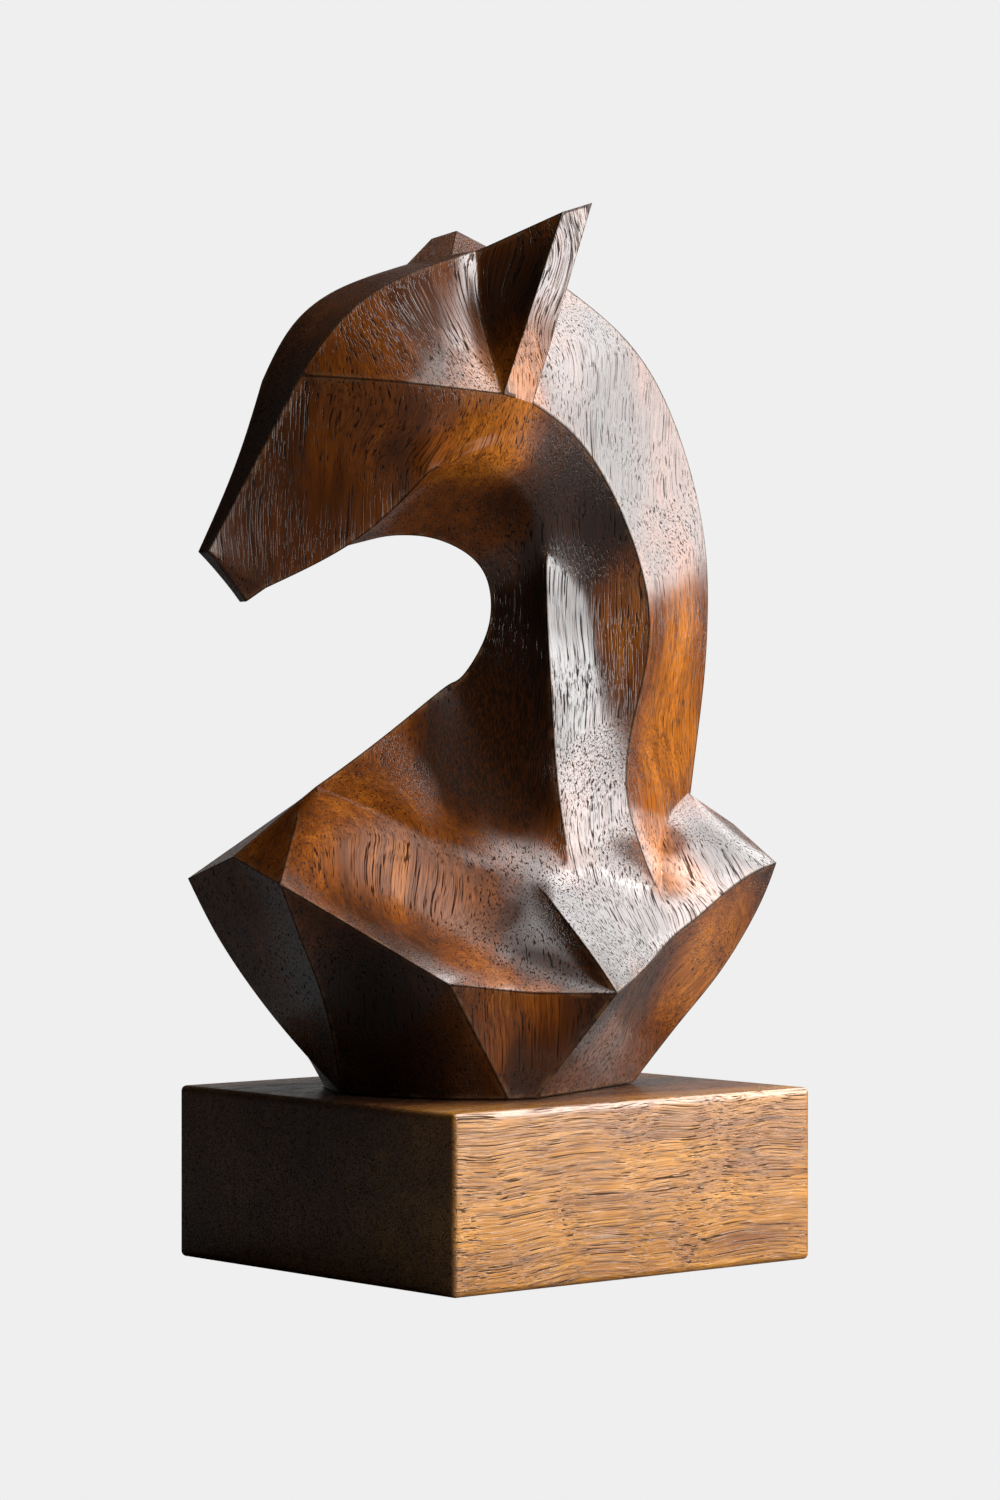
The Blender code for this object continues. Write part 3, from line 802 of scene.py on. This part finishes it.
def ring_colour(tree, sawn, sway, grain, stops, warmth, streaks_and_painted_light):
    """Broad and narrow bands of the growth rings, clouds, the placed streaks with their painted light and
    painted shade, and thin dark veins.
    """
    narrow = times(tree, pattern(tree, grain, *NARROW_BANDS), NARROW_SHARE)
    tone = maths(tree, "MULTIPLY_ADD", pattern(tree, grain, *BROAD_BANDS), BROAD_SHARE, narrow)
    tone = maths(tree, "MULTIPLY_ADD", pattern(tree, grain, *CLOUDS), CLOUD_SHARE, tone)
    tone = maths(tree, "SUBTRACT", tone, MEAN_TONE - warmth)
    # The placed streaks add golden wood, painted light and painted shade to the tone
    strayed = added(tree, sawn, scaled(tree, sway, STREAK_SWAY))
    squeezed = stretched(tree, strayed, 1.0, STREAK_SQUEEZE)
    streaks_and_painted_light = [(x, y, z * STREAK_SQUEEZE, *rest) for x, y, z, *rest in streaks_and_painted_light]
    tone = maths(tree, "ADD", tone, patches(tree, squeezed, streaks_and_painted_light))
    vein = off_middle(tree, pattern(tree, grain, *VEINS))
    vein = between(tree, vein, *VEIN_EDGES, VEIN_SHARE, 0.0)
    return blended(tree, vein, tones(tree, tone, stops), VEIN_DARK)


def open_pores(tree, grain, across, lengthwise):
    """Long thin strokes along the grain, and finer hairs."""
    strokes = pattern(tree, grain, across, lengthwise, UNSHIFTED, *STROKE_NOISE)
    finer = (HAIR_FINENESS * across, HAIR_FINENESS * lengthwise)
    hairs = pattern(tree, grain, *finer, HAIR_SHIFT, *STROKE_NOISE)
    hairs = between(tree, hairs, *HAIR_EDGES, 0.0, HAIR_SHARE)
    return maths(tree, "MAXIMUM", between(tree, strokes, *STROKE_EDGES), hairs)


def open_grooves(tree, sawn, grain, grooves):
    """Long grooves where the wood was split along the grain."""
    splits = off_middle(tree, pattern(tree, grain, *SPLITS))
    splits = between(tree, splits, *SPLIT_EDGES, 1.0, 0.0)
    return times(tree, splits, patches(tree, sawn, grooves))


def walnut(
    name, turn_to_grain, stops, warmth, roughness, stroke,
    streaks_and_painted_light, dull=(), leans=(), grooves=(), ink=0.0,
):
    """Oiled walnut whose grain runs along Z once it is turned. Stroke gives the steps of its pores a
    millimetre, across and along the grain, and ink how dark the line of old oil along its arrises is."""
    material = bpy.data.materials.new(name)
    material.use_nodes = True
    tree = material.node_tree
    shader = tree.nodes["Principled BSDF"]
    sawn, sway, grain = grain_places(tree, turn_to_grain, leans)
    fibres = pattern(tree, grain, *FIBRES)
    pores = open_pores(tree, grain, *stroke)
    splits = open_grooves(tree, sawn, grain, grooves)
    worn = add_node(tree, "ShaderNodeAttribute", attribute_name="worn").outputs["Fac"]
    line = between(tree, worn, *INK_EDGES, 0.0, ink)
    rubbed = between(tree, pattern(tree, grain, *RUBBING), *RUB_EDGES, *RUB_SHARES)

    # The colour of the rings, with the placed streaks and their painted light and painted shade, darkened by
    # fibres, pores and grooves, and paler where cloths and hands have rubbed the edges, with the line of old
    # oil along the arris itself
    colour = ring_colour(tree, sawn, sway, grain, stops, warmth, streaks_and_painted_light)
    colour = blended(tree, between(tree, fibres, *FIBRE_EDGES, FIBRE_SHARE, 0.0), colour, FIBRE_BROWN)
    colour = blended(tree, times(tree, pores, PORE_SHARE), colour, PORE_DARK)
    colour = blended(tree, splits, colour, PORE_DARK)
    colour = blended(tree, times(tree, worn, rubbed), colour, WORN_PALE)
    colour = blended(tree, line, colour, PORE_DARK)
    tree.links.new(colour, shader.inputs["Base Color"])

    # Oil leaves the fibres glossy, and pores, grooves, dull patches and the oily line without much shine
    polish = pattern(tree, grain, *POLISH)
    rough = between(tree, polish, *POLISH_EDGES, roughness - POLISH_SPREAD, roughness + POLISH_SPREAD)
    rough = maths(tree, "MULTIPLY_ADD", pores, PORE_ROUGHNESS, rough)
    tree.links.new(rough, shader.inputs["Roughness"])
    gloss = maths(tree, "MAXIMUM", remainder(tree, patches(tree, sawn, dull)), LEAST_GLOSS)
    shine = between(tree, fibres, *GLOSS_EDGES, *GLOSS_SHARES)
    shine = times(tree, shine, between(tree, pores, 0.0, 1.0, 1.0, PORE_GLOSS))
    shine = times(tree, shine, gloss)
    shine = times(tree, shine, remainder(tree, line))
    shine = times(tree, shine, remainder(tree, splits))
    tree.links.new(shine, shader.inputs["Specular IOR Level"])

    # The pores are sunk and the fibres stand a little proud, less so where the wood is dull
    height = maths(tree, "MULTIPLY_ADD", pores, -1.0, times(tree, fibres, FIBRE_RELIEF))
    relief = add_node(tree, "ShaderNodeBump", {"Height": height, "Strength": gloss, "Distance": RELIEF_DEPTH})
    tree.links.new(relief.outputs["Normal"], shader.inputs["Normal"])
    return material


horse_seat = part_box("horse")[0].z
horse_mesh = carve_whole(horse_cage())
finish_solid(horse_mesh, Matrix.Translation((0.0, 0.0, horse_seat)) @ Matrix.Rotation(-HORSE_TURN, 4, "Z"))
horse_walnut = walnut(
    "oiled_walnut_horse",
    turn_to_grain=(0.0, 0.0, 0.0),
    stops=HORSE_TONES,
    warmth=0.4,
    roughness=0.19,
    stroke=(1.8, 0.04),
    streaks_and_painted_light=HORSE_STREAKS_AND_PAINTED_LIGHT,
    dull=HORSE_DULL,
    leans=HORSE_LEANS,
    grooves=EAR_GROOVES,
    ink=EDGE_INK,
)
carved_horse = finished_piece("carved_horse", horse_mesh, horse_walnut)
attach(carved_horse, "root")
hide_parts("horse")

# THE PLINTH
# A block of walnut under the horse's foot, its grain running along the long sides. It is planed square,
# its edges and corners are rounded over by hand, and it is oiled like the horse.

PLINTH_EDGE = 0.0016
PLINTH_EDGE_STEPS = 4

# The faces are cut into squares of this size, which are fine enough to hold the wear along the edges
PLINTH_STEP = 0.0018
CUT_TOLERANCE = 1e-7

# Its wood is yellower than the horse's
PLINTH_TONES = [
    (0.0, (0.013, 0.0055, 0.0026)),
    (0.3, (0.045, 0.0145, 0.0035)),
    (0.6, (0.17, 0.055, 0.007)),
    (1.0, (0.44, 0.185, 0.02)),
]

# Streaks as for the horse, in the turned block: first along the world's X, then downwards, then along its Y.
# The first is a golden streak that also paints the lit right side warmer, the second is painted shade over
# the top
PLINTH_STREAKS_AND_PAINTED_LIGHT = [
    (70.0, -18.0, 10.0, 190.0, 0.48),
    (5.0, -56.0, 0.0, 66.0, -0.55),
]

def cut_up(block, low, high):
    """Cuts the faces into squares by planes square to each axis, but leaves the rounded edges as they are."""
    for axis in range(3):
        normal = Vector((0.0, 0.0, 0.0))
        normal[axis] = 1.0
        for step in range(1, int((high - low)[axis] / PLINTH_STEP)):
            cut = Vector((0.0, 0.0, 0.0))
            cut[axis] = low[axis] + step * PLINTH_STEP
            if low[axis] + PLINTH_EDGE <= cut[axis] <= high[axis] - PLINTH_EDGE:
                bmesh.ops.bisect_plane(
                    block,
                    geom=list(block.verts) + list(block.edges) + list(block.faces),
                    plane_co=cut,
                    plane_no=normal,
                    dist=CUT_TOLERANCE,
                )


def note_wear(block, low, high):
    """The wood is worn where it is near two faces of the block at once, which is along an edge."""
    worn = block.verts.layers.float.new("worn")
    for vertex in block.verts:
        reaches = sorted(min(vertex.co[axis] - low[axis], high[axis] - vertex.co[axis]) for axis in range(3))
        vertex[worn] = max(0.0, 1.0 - reaches[1] / WEAR_REACH)


def make_block(low, high):
    """The block with its edges rounded over, from its lowest corner to its highest."""
    block = bmesh.new()
    bmesh.ops.create_cube(block, size=1.0)
    bmesh.ops.scale(block, vec=high - low, verts=block.verts)
    bmesh.ops.translate(block, vec=(low + high) / 2.0, verts=block.verts)
    bmesh.ops.bevel(
        block,
        geom=list(block.edges),
        offset=PLINTH_EDGE,
        segments=PLINTH_EDGE_STEPS,
        profile=ROUND_PROFILE,
        affect="EDGES",
    )
    cut_up(block, low, high)
    note_wear(block, low, high)
    mesh = bpy.data.meshes.new("walnut_plinth")
    block.to_mesh(mesh)
    block.free()
    return mesh


plinth_walnut = walnut(
    "oiled_walnut_plinth",
    turn_to_grain=(math.radians(90.0), 0.0, 0.0),
    stops=PLINTH_TONES,
    warmth=0.36,
    roughness=0.26,
    stroke=(2.5, 0.022),
    streaks_and_painted_light=PLINTH_STREAKS_AND_PAINTED_LIGHT,
)
walnut_plinth = finished_piece("walnut_plinth", make_block(*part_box("plinth")), plinth_walnut)
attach(walnut_plinth, "root")
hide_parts("plinth")

# THE STUDIO
# A plain pale floor and background. Large soft boxes stand on the right and behind on the right, high and
# low, one hangs overhead, and a dim wall closes the back.

# What the camera sees of floor and background, and what light they really give back
PALE = (0.863, 0.863, 0.863)
DIM_PAPER = (0.09, 0.09, 0.09)
DIM_ROOM = (0.024, 0.021, 0.018)
FLOOR_REACH = 6.0


def opaque(colour):
    return (*colour, 1.0)


def studio_floor():
    grid = bmesh.new()
    bmesh.ops.create_grid(grid, x_segments=1, y_segments=1, size=FLOOR_REACH)
    mesh = bpy.data.meshes.new("studio_floor")
    grid.to_mesh(mesh)
    grid.free()
    material = bpy.data.materials.new("pale_paper")
    material.use_nodes = True
    tree = material.node_tree
    tree.nodes.clear()
    seen = add_node(tree, "ShaderNodeLightPath").outputs["Is Camera Ray"]
    glow = add_node(tree, "ShaderNodeEmission", {"Color": opaque(PALE)}).outputs[0]
    paper = add_node(tree, "ShaderNodeBsdfDiffuse", {"Color": opaque(DIM_PAPER)}).outputs[0]
    mix = add_node(tree, "ShaderNodeMixShader", {0: seen, 1: paper, 2: glow}).outputs[0]
    add_node(tree, "ShaderNodeOutputMaterial", {"Surface": mix})
    mesh.materials.append(material)
    floor = bpy.data.objects.new("studio_floor", mesh)
    bpy.context.scene.collection.objects.link(floor)


def studio_background():
    world = bpy.data.worlds.new("studio")
    world.use_nodes = True
    tree = world.node_tree
    tree.nodes.clear()
    seen = add_node(tree, "ShaderNodeLightPath").outputs["Is Camera Ray"]
    pale = add_node(tree, "ShaderNodeBackground", {"Color": opaque(PALE)}).outputs[0]
    dim = add_node(tree, "ShaderNodeBackground", {"Color": opaque(DIM_ROOM)}).outputs[0]
    mix = add_node(tree, "ShaderNodeMixShader", {0: seen, 1: dim, 2: pale}).outputs[0]
    add_node(tree, "ShaderNodeOutputWorld", {"Surface": mix})
    bpy.context.scene.world = world


# The camera stands level with the middle of the piece and looks square at neither side of the plinth
VIEW_TURN = math.radians(40.6)
VIEW_TILT = math.radians(-0.17)
LENS_PIXELS = 4220.0
IMAGE_HEIGHT = 1500.0
SENSOR = 36.0
TO_RIGHT = Vector((math.sin(VIEW_TURN), math.cos(VIEW_TURN), 0.0))
AWAY = Vector((-math.cos(VIEW_TURN), math.sin(VIEW_TURN), 0.0))
UP = Vector((0.0, 0.0, 1.0))

# It was solved while the plinth measured 126 mm, and the whole model was then enlarged as if to 132.6 mm
VIEW_SCALE = 132.6 / 126.0
CAMERA_RIGHT = 0.0017
CAMERA_BACK = 1.157
CAMERA_ABOVE_PLINTH = 0.0956


def studio_camera():
    camera = bpy.data.objects.new("camera", bpy.data.cameras.new("camera"))
    camera.data.sensor_width = SENSOR
    camera.data.lens = LENS_PIXELS / IMAGE_HEIGHT * SENSOR
    plinth_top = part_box("plinth")[1].z
    camera.location = TO_RIGHT * CAMERA_RIGHT * VIEW_SCALE - AWAY * CAMERA_BACK * VIEW_SCALE
    camera.location += UP * (plinth_top + CAMERA_ABOVE_PLINTH * VIEW_SCALE)
    look = AWAY * math.cos(VIEW_TILT) + UP * math.sin(VIEW_TILT)
    camera.rotation_euler = look.to_track_quat("-Z", "Y").to_euler()
    bpy.context.scene.collection.objects.link(camera)
    bpy.context.scene.camera = camera


# Soft boxes round the middle of the horse: each one's direction to the right, up and towards the camera,
# then its distance, width and height in metres and its brightness
LIT_MIDDLE = Vector((0.0, 0.0, 0.16))
SOFT_BOXES = {
    "right_box": (0.9254, 0.1736, 0.3368, 1.0, 1.3, 0.62, 10.5),
    "upper_right_box": (0.784, 0.616, 0.082, 1.0, 0.5, 0.42, 8.0),
    "back_right_box": (0.5065, 0.766, -0.3957, 1.0, 0.95, 0.65, 6.2),
    "back_low_box": (0.745, 0.326, -0.582, 1.0, 0.95, 0.46, 4.4),
    "top_box": (0.4006, 0.9135, 0.0706, 1.0, 0.8, 0.54, 4.5),
    "back_wall": (0.0, 0.12, -1.0, 1.6, 3.0, 0.6, 0.22),
}


def soft_light(name, right, up, towards, distance, width, height, brightness):
    """A soft box that faces the horse's middle, equally bright all over."""
    light = bpy.data.lights.new(name, "AREA")
    light.shape = "RECTANGLE"
    light.size = width
    light.size_y = height
    light.energy = brightness * math.pi * width * height
    direction = (TO_RIGHT * right + UP * up - AWAY * towards).normalized()
    lamp = bpy.data.objects.new(name, light)
    lamp.location = LIT_MIDDLE + direction * distance
    lamp.rotation_euler = direction.to_track_quat("Z", "Y").to_euler()
    bpy.context.scene.collection.objects.link(lamp)


studio_floor()
studio_background()
studio_camera()
for name, setting in SOFT_BOXES.items():
    soft_light(name, *setting)
bpy.context.scene.view_settings.view_transform = "Standard"
